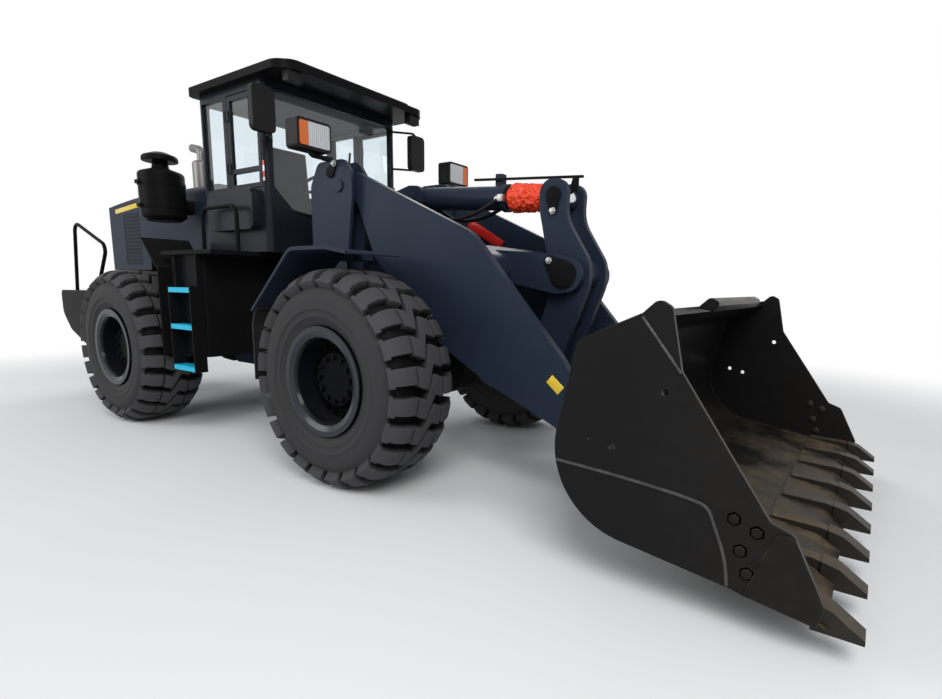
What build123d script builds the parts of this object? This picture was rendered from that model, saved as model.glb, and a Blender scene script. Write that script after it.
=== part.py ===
"""Articulated wheel loader: one STEP file for each named piece.

Millimetres. +X is forward, +Y is the machine's left, +Z is up, and the
ground is Z = 0. Profiles give X from the front axle; the helpers below move
them so that the whole machine is centred over the origin.
"""
import os
from math import atan2, cos, hypot, radians, sin

from build123d import *

os.makedirs("parts", exist_ok=True)

# Wheels and axles
WHEELBASE = 3300
TRACK = 2250
TYRE_RADIUS = 785
TYRE_WIDTH = 590
RIM_RADIUS = 388
RIM_SEAT = 318
LUG_PITCHES = 24
LUG_HALF = 5.4
CARCASS_SIDES = 48

# Overall reach from the front axle
TOOTH_TIP = (3237, 128)
HITCH_END = -5400
FRONT_AXLE_X = -(TOOTH_TIP[0] + HITCH_END) / 2

# Linkage pins, as (x, z) at rest
PIVOT_X = -1650
BOOM_PIN = (-550, 2240)
BUCKET_PIN = (1780, 500)
CRANK_PIN = (1256, 1550)
CRANK_TOP = (1110, 2120)
CRANK_LOW = (1000, 750)
BUCKET_LUG = (1800, 905)
TILT_BASE = (-300, 2210)
LIFT_BASE = (-1050, 1000)
LIFT_EYE = (300, 1320)
LIFT_Y = 450
STEER_BASE = (-2510, 290)
STEER_EYE = (-1530, 460)
STEER_Z = 950
PIN_GAP = 0.3

# Boom and bucket
BOOM_INNER, BOOM_OUTER = 590, 650
BUCKET_WIDTH = 3000
TEETH = 8
TEETH_SPAN = 2918

# Rear body
FRAME_INNER, FRAME_OUTER = 450, 480
DECK_TOP = 1735
DECK_HALF = 1250
CAB_HALF = 800
CAB_REAR, CAB_FRONT = -2440, -1400
CAB_TOP = 3190
DOOR_REAR, DOOR_FRONT = -1960, -1450
DOORS = {"left": (1, 1858), "right": (-1, 2300)}
SILL_Z = 2330
HOOD_HALF = 650
HOOD_FRONT, HOOD_REAR = -2560, -4950


def side(y):
    """Plane seen from the right-hand side, x forward and z up."""
    return Plane(origin=(FRONT_AXLE_X, y, 0), x_dir=(1, 0, 0), z_dir=(0, -1, 0))


def level(z):
    """Plane seen from above, x forward and y to the left."""
    return Plane(origin=(FRONT_AXLE_X, 0, z), x_dir=(1, 0, 0), z_dir=(0, 0, 1))


def span(a, b, s=1):
    """The two y values of a stretch on the left (s = 1) or right (s = -1)."""
    return tuple(sorted((s * a, s * b)))


def face(plane, points):
    """Closed outline on a plane; a third number in a point rounds that corner."""
    with BuildSketch(plane) as outline:
        with BuildLine():
            Polyline(*[point[:2] for point in points], close=True)
        make_face()
        for x, y, *radius in points:
            if radius:
                fillet(outline.vertices().sort_by_distance((x, y, 0))[0], radius[0])
    return outline.sketch


def slab(points, y0, y1, mode=Mode.ADD):
    """Plate with a side profile, between two y values."""
    extrude(face(side(y1), points), amount=y1 - y0, mode=mode)


def slabs(points, a, b, mode=Mode.ADD):
    """The same plate on both sides of the machine."""
    for s in (1, -1):
        slab(points, *span(a, b, s), mode)


def disc(centre, radius, y0, y1, mode=Mode.ADD):
    """Round boss or bore across the machine."""
    with BuildSketch(side(y1)) as profile:
        with Locations(centre):
            Circle(radius)
    extrude(profile.sketch, amount=y1 - y0, mode=mode)


def discs(centre, radius, a, b, mode=Mode.ADD):
    for s in (1, -1):
        disc(centre, radius, *span(a, b, s), mode)


def flat(points, z0, z1, mode=Mode.ADD):
    """Plate with a plan profile, between two heights."""
    extrude(face(level(z0), points), amount=z1 - z0, mode=mode)


def panel(points, x0, x1, mode=Mode.ADD):
    """Plate with a profile seen from the front, as (y, z), between two x values."""
    plane = Plane(origin=(FRONT_AXLE_X + x0, 0, 0), x_dir=(0, 1, 0), z_dir=(1, 0, 0))
    extrude(face(plane, points), amount=x1 - x0, mode=mode)


def frame_of(y0, y1, z0, z1, radius):
    """Rounded rectangle as (y, z) corners."""
    return [(y0, z0, radius), (y1, z0, radius), (y1, z1, radius), (y0, z1, radius)]


def turned(points, centre):
    """Solid of revolution about an upright axis, from (radius, height) points."""
    x, y = centre
    profile = face(Plane(origin=(FRONT_AXLE_X + x, y, 0), x_dir=(1, 0, 0),
                         z_dir=(0, -1, 0)), points)
    revolve(profile, axis=Axis((FRONT_AXLE_X + x, y, 0), (0, 0, 1)))


def post(centre, radius, z0, z1, mode=Mode.ADD):
    """Upright round post or bore."""
    with BuildSketch(level(z0)) as profile:
        with Locations(centre):
            Circle(radius)
    extrude(profile.sketch, amount=z1 - z0, mode=mode)


def block(x0, x1, y0, y1, z0, z1, mode=Mode.ADD):
    with Locations((FRONT_AXLE_X + x0, y0, z0)):
        Box(x1 - x0, y1 - y0, z1 - z0, align=(Align.MIN,) * 3, mode=mode)


def blocks(x0, x1, a, b, z0, z1, mode=Mode.ADD):
    for s in (1, -1):
        y0, y1 = span(a, b, s)
        block(x0, x1, y0, y1, z0, z1, mode)


def pipe(points, radius, bend):
    """Round tube through points, with bent corners."""
    placed = [(FRONT_AXLE_X + x, y, z) for x, y, z in points]
    with BuildLine() as path:
        FilletPolyline(*placed, radius=bend)
    start = Plane(origin=path.line @ 0, z_dir=path.line % 0)
    with BuildSketch(start) as ring:
        Circle(radius)
    sweep(ring.sketch, path=path.line)


def along(start, end, distance):
    """Point at a distance from the start, towards the end."""
    length = hypot(end[0] - start[0], end[1] - start[1])
    return tuple(a + (b - a) * distance / length for a, b in zip(start, end))


def rod_plane(start, end, distance, y):
    """Plane across a cylinder's axis, at a distance from its base pin."""
    x, z = along(start, end, distance)
    return Plane(origin=(FRONT_AXLE_X + x, y, z), x_dir=(0, 1, 0),
                 z_dir=(end[0] - start[0], 0, end[1] - start[1]))


def flat_rod_plane(start, end, distance, z):
    """The same for a cylinder that lies flat."""
    x, y = along(start, end, distance)
    return Plane(origin=(FRONT_AXLE_X + x, y, z), x_dir=(0, 0, 1),
                 z_dir=(end[0] - start[0], end[1] - start[1], 0))


def round_bar(plane, radius, length, mode=Mode.ADD):
    with BuildSketch(plane) as profile:
        Circle(radius)
    extrude(profile.sketch, amount=length, mode=mode)


def strip(points, thickness):
    """Closed outline of a bent sheet that follows the points, thickness above them."""
    back = []
    for i, (x, z, *radius) in enumerate(points):
        before, after = points[max(i - 1, 0)], points[min(i + 1, len(points) - 1)]
        angle = atan2(after[1] - before[1], after[0] - before[0])
        back.append((x + thickness * sin(angle), z - thickness * cos(angle),
                     *[r + thickness for r in radius]))
    return list(points) + back[::-1]


def write(builder, name):
    builder.part.label = name
    export_step(builder.part, f"parts/{name}.step")


def wheel_plane(x, s):
    """Section plane of a wheel: outwards to the side, then radius."""
    return Plane(origin=(FRONT_AXLE_X + x, s * TRACK / 2, TYRE_RADIUS),
                 x_dir=(0, s, 0), z_dir=(s, 0, 0))


def axle_axis(x):
    return Axis((FRONT_AXLE_X + x, 0, TYRE_RADIUS), (0, 1, 0))


# Wheels: faceted tyre carcass with two staggered rings of lugs, and a rim with its hub
def ring_plane(x, y):
    return Plane(origin=(FRONT_AXLE_X + x, y, TYRE_RADIUS), x_dir=(1, 0, 0), z_dir=(0, 1, 0))


def lug_ring(plane, radius, start):
    """Outline of one ring of lugs; the grooves between them reach inside the carcass."""
    points = []
    for i in range(LUG_PITCHES):
        middle = start + i * 360 / LUG_PITCHES
        for turn, r in ((-LUG_HALF, 0.8), (-LUG_HALF, 1), (LUG_HALF, 1), (LUG_HALF, 0.8)):
            angle = radians(90 + middle + turn)
            points.append((r * radius * cos(angle), r * radius * sin(angle)))
    return face(plane, points)


half = TYRE_WIDTH / 2
stagger = 180 / LUG_PITCHES
lug_tip = TYRE_RADIUS / cos(radians(stagger - LUG_HALF))
bead = 249
carcass = [(-bead, 400), (-half, 560), (-240, 735), (240, 735), (half, 560), (bead, 400)]
lug_line = [(8, lug_tip), (150, lug_tip), (250, 752), (284, 655)]
rim_section = [(-70, 0), (-70, 160), (55, 175), (55, 300), (-240, 300), (-262, 312),
               (-278, 352), (-278, RIM_RADIUS), (-264, RIM_RADIUS), (-252, 336),
               (-250, RIM_SEAT), (250, RIM_SEAT), (252, 336), (264, RIM_RADIUS),
               (278, RIM_RADIUS), (278, 352), (262, 312), (240, 300), (85, 300),
               (85, 225), (105, 205), (150, 190), (150, 0)]
for axle, x in (("front", 0), ("rear", -WHEELBASE)):
    for hand, s in (("left", 1), ("right", -1)):
        middle = s * TRACK / 2
        with BuildPart() as tyre:
            bands = []
            for y, radius in carcass:
                with BuildSketch(ring_plane(x, middle + y)) as band:
                    RegularPolygon(radius, CARCASS_SIDES)
                bands.append(band.sketch)
            loft(bands, ruled=True)
            for outwards, start in ((1, 0), (-1, stagger)):
                loft([lug_ring(ring_plane(x, middle + outwards * y), radius, start)
                      for y, radius in lug_line], ruled=True)
            for start, length, radius in ((-half, TYRE_WIDTH, RIM_SEAT + PIN_GAP),
                                          (-half, half - bead, RIM_RADIUS + 1),
                                          (bead, half - bead, RIM_RADIUS + 1)):
                with BuildSketch(ring_plane(x, middle + start)) as seat:
                    RegularPolygon(radius, CARCASS_SIDES, major_radius=False)
                extrude(seat.sketch, amount=length, mode=Mode.SUBTRACT)
        write(tyre, f"tyre_{axle}_{hand}")
        with BuildPart() as rim:
            revolve(face(wheel_plane(x, s), rim_section), axis=axle_axis(x))
        write(rim, f"rim_{axle}_{hand}")

# Axles: differential in the middle, tubes out to the hubs, pads for the frame
hub_y = TRACK / 2 - 70 - PIN_GAP
axle_section = [(-hub_y, 0), (-hub_y, 135), (-700, 135), (-480, 165), (-250, 175),
                (-200, 235), (-110, 270), (110, 270), (200, 235), (250, 175),
                (480, 165), (700, 135), (hub_y, 135), (hub_y, 0)]
for axle, x, nose, pad, pad_y in (("front", 0, -1, 1010, (290, 345)),
                                  ("rear", -WHEELBASE, 1, 960, (440, 490))):
    with BuildPart() as housing:
        with BuildSketch(Plane(origin=(FRONT_AXLE_X + x, 0, TYRE_RADIUS),
                               x_dir=(0, 1, 0), z_dir=(1, 0, 0))):
            with BuildLine():
                Polyline(*axle_section, close=True)
            make_face()
        revolve(axis=axle_axis(x))
        round_bar(Plane(origin=(FRONT_AXLE_X + x, 0, TYRE_RADIUS),
                        x_dir=(0, 1, 0), z_dir=(nose, 0, 0)), 120, 400)
        blocks(x - 150, x + 150, *pad_y, TYRE_RADIUS + 60, pad)
    write(housing, f"{axle}_axle")

# Front frame: side plates over the axle, hinge forks, boom uprights
with BuildPart() as front_frame:
    slabs([(-1230, 560), (-420, 560), (-320, 1010), (330, 1010), (520, 1040),
           (520, 1240), (-60, 1500), (-420, 1600), (-905, 1600), (-1230, 1340)], 300, 335)
    block(-1250, -1210, -440, 440, 540, 1340)
    block(420, 460, -300, 300, 1040, 1240)
    block(-420, -380, -300, 300, 1010, 1560)
    for z0 in (559, 681, 1159, 1281):
        flat([(-1240, -330), (-1620, -105), (-1620, 105), (-1240, 330)], z0, z0 + 40)
        post((PIVOT_X, 0), 110, z0, z0 + 40)
        post((PIVOT_X, 0), 45 + PIN_GAP, z0 - 1, z0 + 41, Mode.SUBTRACT)
    for z0 in (880, 980):
        for s in (1, -1):
            flat([(-1240, s * 350), (STEER_EYE[0], s * 400), (STEER_EYE[0], s * 520),
                  (-1240, s * 440)], z0, z0 + 40)
            post((STEER_EYE[0], s * STEER_EYE[1]), 60, z0, z0 + 40)
    blocks(-1250, -1210, 440, 575, 880, 1120)
    slabs([(-1250, 880), (-980, 880), (-980, 1120), (-1250, 1120)], 540, 575)
    discs(LIFT_BASE, 45 + PIN_GAP, 290, 580, Mode.SUBTRACT)
    uprights = [(-900, 1600), (-900, 2260, 80), (-800, 2440, 80), (-480, 2440, 80),
                (-400, 2330, 60), (-400, 2150, 100), (-480, 1600)]
    slabs(uprights, 545, 575)
    slabs(uprights, 690, 720)
    blocks(-900, -480, 545, 720, 1560, 1600)
    block(-900, -860, -720, 720, 1400, 2180)
    slabs([(-865, 1650), (-865, 2180), (-330, 2310, 80), (-190, 2295, 60),
           (-190, 2120, 70), (-330, 2110, 60)], 100, 135)
    discs(TILT_BASE, 38 + PIN_GAP, 95, 140, Mode.SUBTRACT)
    discs(BOOM_PIN, 50 + PIN_GAP, 540, 725, Mode.SUBTRACT)
    blocks(-500, -260, 690, 840, 1640, 1690)
    blocks(-300, -200, 690, 900, 1640, 1690)
write(front_frame, "front_frame")

# Pins that hold the frames, the boom, and the cylinders' bases
with BuildPart() as frame_pins:
    for z0, z1 in ((559, 721), (1159, 1321)):
        post((PIVOT_X, 0), 45, z0 - 8, z1 + 8)
        post((PIVOT_X, 0), 75, z1, z1 + 24)
    discs(BOOM_PIN, 50, 545, 735)
    discs(LIFT_BASE, 45, 300, 590)
    disc(TILT_BASE, 38, -150, 150)
write(frame_pins, "frame_pins")

# Front fenders with mud flaps
fender_line = [(230, 1655), (20, 1690, 80), (-360, 1690, 120), (-860, 1240)]
with BuildPart() as front_fenders:
    slabs(strip(fender_line, 12), 845, 1335)
    slabs([(230, 1655), (20, 1690, 80), (-360, 1690, 120), (-860, 1240), (-874, 1254),
           (-366, 1716, 140), (22, 1716, 100), (236, 1680)], 1335, 1350)
write(front_fenders, "front_fenders")
with BuildPart() as mud_flaps:
    slabs([(-860, 1240), (-825, 1271.5), (-817, 1260), (-850, 1228), (-884, 1140),
           (-884, 700), (-898, 700), (-898, 1142)], 850, 1330)
write(mud_flaps, "mud_flaps")

# Head lamps on stalks from the uprights
with BuildPart() as headlamps:
    for s in (1, -1):
        slab([(-700, 2440), (-640, 2440), (-640, 2470), (-700, 2470)], *span(690, 760, s))
        pipe([(-670, s * 740, 2455), (-670, s * 900, 2455), (-670, s * 900, 2540)], 18, 40)
        panel(frame_of(*span(740, 1060, s), 2480, 2700, 28), -740, -600)
    for s in (1, -1):
        panel(frame_of(*span(760, 1040, s), 2500, 2680, 14), -612, -590, Mode.SUBTRACT)
write(headlamps, "headlamps")
with BuildPart() as headlamp_lenses:
    for s in (1, -1):
        near, far = s * 762, s * 960
        panel([(near, 2502, 14), (far, 2502), (far, 2678), (near, 2678, 14)], -612, -592)
write(headlamp_lenses, "headlamp_lenses")
with BuildPart() as turn_lamps:
    for s in (1, -1):
        near, far = s * 962, s * 1038
        panel([(near, 2502), (far, 2502, 14), (far, 2678, 14), (near, 2678)], -612, -592)
write(turn_lamps, "turn_lamps")

# Boom: two deep arms, cross beam, ears for the bellcrank
arm = [(-690, 2350, 80), (-430, 2350, 200), (738, 1831, 350), (1480, 1000, 300),
       (1680, 700, 150), (1890, 555, 80), (1905, 375, 110), (1740, 368, 60), (1430, 545, 300),
       (900, 770, 300), (460, 1015, 250), (-230, 1670, 200), (-420, 2110, 80), (-690, 2170, 60)]
with BuildPart() as boom:
    slabs(arm, BOOM_INNER, BOOM_OUTER)
    discs(BOOM_PIN, 130, 580, 655)
    discs(BUCKET_PIN, 130, 580, 655)
    discs(LIFT_EYE, 85, 520, BOOM_INNER)
    slab([(470, 1810, 60), (780, 1690, 80), (830, 1560, 80), (760, 1450, 60),
          (520, 1500, 60)], -BOOM_INNER, BOOM_INNER)
    slabs([(560, 1745), (1240, 1690, 300), (1396, 1620, 90), (1396, 1440, 120),
           (1200, 1412, 200), (800, 1490, 200), (620, 1520)], 190, 250)
    discs(CRANK_PIN, 60 + PIN_GAP, 180, 260, Mode.SUBTRACT)
    discs(BOOM_PIN, 50 + PIN_GAP, 570, 660, Mode.SUBTRACT)
    discs(BUCKET_PIN, 50 + PIN_GAP, 570, 660, Mode.SUBTRACT)
write(boom, "boom")

# Pins that turn with the linkage
with BuildPart() as bucket_pins:
    discs(BUCKET_PIN, 50, 510, 725)
write(bucket_pins, "bucket_pins")
with BuildPart() as crank_pin:
    disc(CRANK_PIN, 60, -265, 265)
    discs(CRANK_PIN, 85, 252, 270)
write(crank_pin, "crank_pin")
with BuildPart() as link_pin:
    disc(BUCKET_LUG, 42, -165, 165)
write(link_pin, "link_pin")

# Bellcrank: two bent plates joined by the pivot boss and a web
crank_plate = [(995, 2235, 100), (1225, 2235, 100), (1215, 1960, 300), (1420, 1640, 200),
               (1420, 1480, 250), (1110, 640, 100), (895, 640, 100), (900, 820, 250),
               (1085, 1350, 400), (1085, 1630, 500), (995, 2030, 300)]
with BuildPart() as bellcrank:
    slabs(crank_plate, 115, 165)
    disc(CRANK_PIN, 120, -180, 180)
    slab([(1130, 1740, 30), (1220, 1740, 40), (1340, 1600, 80), (1330, 1440, 80),
          (1240, 1180, 30), (1150, 1180, 30), (1160, 1500, 200)], -115, 115)
    disc(CRANK_PIN, 60 + PIN_GAP, -185, 185, Mode.SUBTRACT)
    discs(CRANK_LOW, 60, 165, 180)
write(bellcrank, "bellcrank")

# Link from the bellcrank to the bucket
with BuildPart() as bucket_link:
    disc(CRANK_LOW, 95, -108, 108)
    disc(BUCKET_LUG, 68, -85, 85)
    x, z = CRANK_LOW
    u, w = BUCKET_LUG
    slab([(x - 10, z + 60), (x + 10, z - 60), (u + 10, w - 50), (u - 10, w + 50)], -85, 85)
    disc(BUCKET_LUG, 42 + PIN_GAP, -90, 90, Mode.SUBTRACT)
write(bucket_link, "bucket_link")

# Bucket: bent shell, side plates, ears on the back
cheek = [(1807, 352, 420), (1995, 1222, 60), (2300, 1358), (2369, 1422, 40), (2427, 1388, 30),
         (2485, 1115), (2876, 544, 30), (2967, 509, 40), (3096, 246, 30), (3075, 166)]
hollow = [(1841.6, 375.6, 392), (2019.5, 1202.2, 40), (2310, 1331.8), (2310, 1500),
          (3300, 1500), (3300, 100), (2985, 100), (2985, 204)]
cheek_out = BUCKET_WIDTH / 2 - 10
with BuildPart() as bucket:
    slab(cheek, -cheek_out, cheek_out)
    slab(hollow, 22 - cheek_out, cheek_out - 22, Mode.SUBTRACT)
    slab([(3110, 158), (2760, 210.5), (2765, 250), (3000, 215)], -cheek_out, cheek_out)
    slab([(2300, 1358), (2369, 1422, 30), (2427, 1388, 20), (2390, 1340)], -620, 620)
    slabs([(2800, 205), (3075, 163), (3096, 246, 30), (2967, 509, 40), (2900, 500, 40)],
          cheek_out, BUCKET_WIDTH / 2)
    back_lug = [(2060, 330), (1800, 368, 60), (1690, 385, 80), (1640, 500, 60), (1690, 610, 80),
                (1780, 655, 60), (1925, 720), (1945, 540)]
    slabs(back_lug, 530, 572)
    slabs(back_lug, 668, 710)
    link_lug = [(1925, 690), (1920, 860), (1975, 1090), (1860, 1000, 60), (1720, 975, 60),
                (1720, 850, 60), (1780, 800, 60)]
    slabs(link_lug, 100, 145)
    for x, z in ((2080, 760), (2190, 735), (2420, 1020)):
        discs((x, z), 16, cheek_out - 40, cheek_out + 10, Mode.SUBTRACT)
    discs(BUCKET_LUG, 42 + PIN_GAP, 95, 150, Mode.SUBTRACT)
    discs(BUCKET_PIN, 50 + PIN_GAP, 520, 720, Mode.SUBTRACT)
write(bucket, "bucket")

with BuildPart() as bucket_teeth:
    pitch = (TEETH_SPAN - 90) / (TEETH - 1)
    for i in range(TEETH):
        y = -(TEETH_SPAN - 90) / 2 + i * pitch
        tip_x, tip_z = TOOTH_TIP
        slab([(2775, 184, 8), (2775, 262, 10), (3010, 252, 20), (3050, 243), (3050, 137)],
             y - 38, y + 38)
        slab([(3050, 131), (3050, 249), (3120, 232, 60), (tip_x, tip_z + 20, 6),
              (tip_x, tip_z)], y - 52, y + 52)
    slab([(3110, 158), (2700, 219.5), (2700, 259.7), (3000, 215)], -cheek_out, cheek_out,
         Mode.SUBTRACT)
write(bucket_teeth, "bucket_teeth")

# Tilt cylinder
tilt_length = hypot(CRANK_TOP[0] - TILT_BASE[0], CRANK_TOP[1] - TILT_BASE[1])
with BuildPart() as tilt_barrel:
    disc(TILT_BASE, 85, -92, 92)
    round_bar(rod_plane(TILT_BASE, CRANK_TOP, 60, 0), 95, 870)
    round_bar(rod_plane(TILT_BASE, CRANK_TOP, 890, 0), 108, 40)
    slab([(470, 2240), (545, 2235), (545, 2350, 10), (470, 2355, 10)], 22, 70)
    round_bar(rod_plane(TILT_BASE, CRANK_TOP, 110, 0), 75, 780, Mode.SUBTRACT)
    round_bar(rod_plane(TILT_BASE, CRANK_TOP, 880, 0), 45 + PIN_GAP, 60, Mode.SUBTRACT)
    disc(TILT_BASE, 38 + PIN_GAP, -100, 100, Mode.SUBTRACT)
write(tilt_barrel, "tilt_barrel")
with BuildPart() as tilt_rod:
    round_bar(rod_plane(TILT_BASE, CRANK_TOP, 440, 0), 45, tilt_length - 440)
    round_bar(rod_plane(TILT_BASE, CRANK_TOP, 380, 0), 74, 60)
    disc(CRANK_TOP, 75, -95, 95)
write(tilt_rod, "tilt_rod")
with BuildPart() as level_bar:
    slab([(279, 2312), (279, 2330), (1262, 2267.5), (1262, 2249.5)], -10, 10)
    slab([(1180, 2252), (1225, 2252), (1225, 2150, 20), (1150, 2150, 20)], -10, 10)
    disc(CRANK_TOP, 75 + PIN_GAP, -20, 20, Mode.SUBTRACT)
write(level_bar, "level_bar")
with BuildPart() as rod_wrap:
    round_bar(rod_plane(TILT_BASE, CRANK_TOP, 1160, 0), 66, 170)
    round_bar(rod_plane(TILT_BASE, CRANK_TOP, 1150, 0), 45 + PIN_GAP, 190, Mode.SUBTRACT)
write(rod_wrap, "rod_wrap")

# Lift cylinders
lift_length = hypot(LIFT_EYE[0] - LIFT_BASE[0], LIFT_EYE[1] - LIFT_BASE[1])
for hand, s in (("left", 1), ("right", -1)):
    y = s * LIFT_Y
    with BuildPart() as lift_barrel:
        disc(LIFT_BASE, 80, y - 75, y + 75)
        round_bar(rod_plane(LIFT_BASE, LIFT_EYE, 55, y), 80, 1180)
        round_bar(rod_plane(LIFT_BASE, LIFT_EYE, 88, y), 62, 1117, Mode.SUBTRACT)
        round_bar(rod_plane(LIFT_BASE, LIFT_EYE, 1200, y), 45 + PIN_GAP, 50, Mode.SUBTRACT)
        disc(LIFT_BASE, 45 + PIN_GAP, y - 80, y + 80, Mode.SUBTRACT)
    write(lift_barrel, f"lift_barrel_{hand}")
    with BuildPart() as lift_rod:
        round_bar(rod_plane(LIFT_BASE, LIFT_EYE, 120, y), 45, lift_length - 120)
        round_bar(rod_plane(LIFT_BASE, LIFT_EYE, 120, y), 61, 30)
        disc(LIFT_EYE, 78, *span(390, 519, s))
    write(lift_rod, f"lift_rod_{hand}")

# Steering cylinders
steer_length = hypot(STEER_EYE[0] - STEER_BASE[0], STEER_EYE[1] - STEER_BASE[1])
for hand, s in (("left", 1), ("right", -1)):
    base, eye = (STEER_BASE[0], s * STEER_BASE[1]), (STEER_EYE[0], s * STEER_EYE[1])
    with BuildPart() as steer_barrel:
        post(base, 48, STEER_Z - 54, STEER_Z + 54)
        round_bar(flat_rod_plane(base, eye, 35, STEER_Z), 50, 600)
        round_bar(flat_rod_plane(base, eye, 55, STEER_Z), 40, 550, Mode.SUBTRACT)
        round_bar(flat_rod_plane(base, eye, 600, STEER_Z), 26 + PIN_GAP, 60, Mode.SUBTRACT)
        post(base, 24 + PIN_GAP, STEER_Z - 60, STEER_Z + 60, Mode.SUBTRACT)
    write(steer_barrel, f"steer_barrel_{hand}")
    with BuildPart() as steer_rod:
        round_bar(flat_rod_plane(base, eye, 316, STEER_Z), 26, steer_length - 316)
        round_bar(flat_rod_plane(base, eye, 316, STEER_Z), 39, 30)
        post(eye, 50, STEER_Z - 24, STEER_Z + 24)
    write(steer_rod, f"steer_rod_{hand}")

# Rear frame: side rails, hinge lugs, steering forks, tank brackets
with BuildPart() as rear_frame:
    slabs([(-2250, 1300), (-4280, 1300), (-4280, 980), (-3600, 960), (-3000, 960),
           (-2880, 820), (-2250, 820)], FRAME_INNER, FRAME_OUTER)
    block(-2620, -2580, -FRAME_INNER, FRAME_INNER, 820, 1300)
    block(-4280, -4240, -FRAME_INNER, FRAME_INNER, 980, 1300)
    for z0 in (600, 1200):
        flat([(-2620, -FRAME_INNER), (-2250, -FRAME_INNER), (-2080, -300), (PIVOT_X, -110),
              (PIVOT_X, 110), (-2080, 300), (-2250, FRAME_INNER), (-2620, FRAME_INNER)],
             z0, z0 + 80)
        post((PIVOT_X, 0), 110, z0, z0 + 80)
        post((PIVOT_X, 0), 45 + PIN_GAP, z0 - 1, z0 + 81, Mode.SUBTRACT)
    blocks(-2620, -2250, 300, FRAME_OUTER, 640, 840)
    block(-2620, -2580, -FRAME_INNER, FRAME_INNER, 600, 830)
    for z0 in (856, 1006):
        blocks(-2590, STEER_BASE[0], 220, 340, z0, z0 + 38)
        for s in (1, -1):
            post((STEER_BASE[0], s * STEER_BASE[1]), 60, z0, z0 + 38)
    for s in (1, -1):
        post((STEER_BASE[0], s * STEER_BASE[1]), 24, 860, 1040)
    blocks(-2400, -2280, FRAME_OUTER, 560, 1000, 1260)
write(rear_frame, "rear_frame")

with BuildPart() as counterweight:
    slab([(-4280, 1335), (-5250, 1335, 60), (-5250, 1060, 150), (-5060, 860, 150),
          (-4650, 700, 200), (-4280, 700)], -1150, 1150)
    for z0 in (880, 1010):
        block(HITCH_END + 70, -5000, -110, 110, z0, z0 + 40)
        post((HITCH_END + 70, 0), 70, z0, z0 + 40)
        post((HITCH_END + 70, 0), 32, z0 - 1, z0 + 41, Mode.SUBTRACT)
write(counterweight, "counterweight")

with BuildPart() as engine:
    block(-4260, -3150, -330, 330, 1310, 2050)
    block(-4200, -3250, -430, 430, 1480, 1900)
    blocks(-4150, -4050, 330, 450, 1300, 1500)
    blocks(-3400, -3300, 330, 450, 1300, 1500)
    block(-3060, -2620, -340, 340, 915, 1500)
    round_bar(Plane(origin=(FRONT_AXLE_X - 3150, 0, 1600), x_dir=(0, 1, 0),
                    z_dir=(1, 0, 0)), 270, 200)
    blocks(-2960, -2720, 340, FRAME_INNER, 1100, 1250)
write(engine, "engine")

# Hood over the engine, with the front bulkhead and the radiator
slope = [(-4000, 2450), (HOOD_REAR - 10, 2349), (HOOD_REAR - 10, 2500), (-4000, 2500)]
inner = HOOD_HALF - 10
with BuildPart() as hood:
    panel([(-HOOD_HALF, 1740), (HOOD_HALF, 1740), (HOOD_HALF, 2450, 90), (-HOOD_HALF, 2450, 90)],
          HOOD_REAR, HOOD_FRONT)
    block(HOOD_REAR, -3960, -HOOD_HALF, HOOD_HALF, 1590, 1745)
    slab(slope, -HOOD_HALF - 10, HOOD_HALF + 10, Mode.SUBTRACT)
    for x0, x1, top in ((-4010, HOOD_FRONT - 20, 2440), (HOOD_REAR + 20, -4000, 2338)):
        panel([(-inner, 1500), (inner, 1500), (inner, top, 80), (-inner, top, 80)], x0, x1,
              Mode.SUBTRACT)
    block(HOOD_REAR - 5, HOOD_REAR + 25, -520, 520, 1660, 2240, Mode.SUBTRACT)
    blocks(-4570, -4150, HOOD_HALF - 15, HOOD_HALF + 5, 1650, 2250, Mode.SUBTRACT)
    block(HOOD_FRONT - 20, HOOD_FRONT, -HOOD_HALF, HOOD_HALF, 1300, 1745)
write(hood, "hood")
with BuildPart() as radiator:
    block(-4850, -4600, -590, 590, 1335, 2290)
    block(HOOD_REAR + 4, HOOD_REAR + 16, -520, 520, 1660, 2240)
    blocks(-4570, -4150, HOOD_HALF - 9, HOOD_HALF - 2, 1650, 2250)
write(radiator, "radiator")

# Deck, tanks, ladders and fenders
with BuildPart() as deck:
    block(HOOD_FRONT, -1580, -700, 700, DECK_TOP - 35, DECK_TOP)
    block(-2440, -1580, -DECK_HALF, DECK_HALF, DECK_TOP - 35, DECK_TOP)
    for s in (1, -1):
        flat([(-2415, s * 560), (-1850, s * 560), (-1850, s * 1200, 60), (-2415, s * 1200, 60)],
             780, DECK_TOP - 35)
write(deck, "deck")
with BuildPart() as ladders:
    for x in (-2215, -1842):
        blocks(x, x + 12, 1205, 1250, 650, DECK_TOP - 35)
        blocks(x, x + 12, 1205, 1320, 650, 1420)
    for s in (1, -1):
        pipe([(-4890, s * 1100, 1338.3), (-4760, s * 1100, 2130), (-3960, s * 1100, 1830),
              (-4300, s * 1100, 1346)], 19, 90)
    for y, x0, x1 in ((980, -2420, -2070), (-980, -2160, -1600)):
        pipe([(x0, y, DECK_TOP), (x0, y, 2130), (x1, y, 2130), (x1, y, DECK_TOP)], 19, 90)
write(ladders, "ladders_and_rails")
with BuildPart() as step_treads:
    for z in (680, 1055, 1385):
        blocks(-2203, -1842, 1205, 1320, z - 22, z + 22)
write(step_treads, "step_treads")
with BuildPart() as rear_fenders:
    slabs([(-2415, 770), (-2415, 1590), (-2450, 1604), (-2690, 1866), (-2700, 1857),
           (-2460, 1594), (-2427, 1582), (-2427, 770)], 850, 1300)
write(rear_fenders, "rear_fenders")

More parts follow.
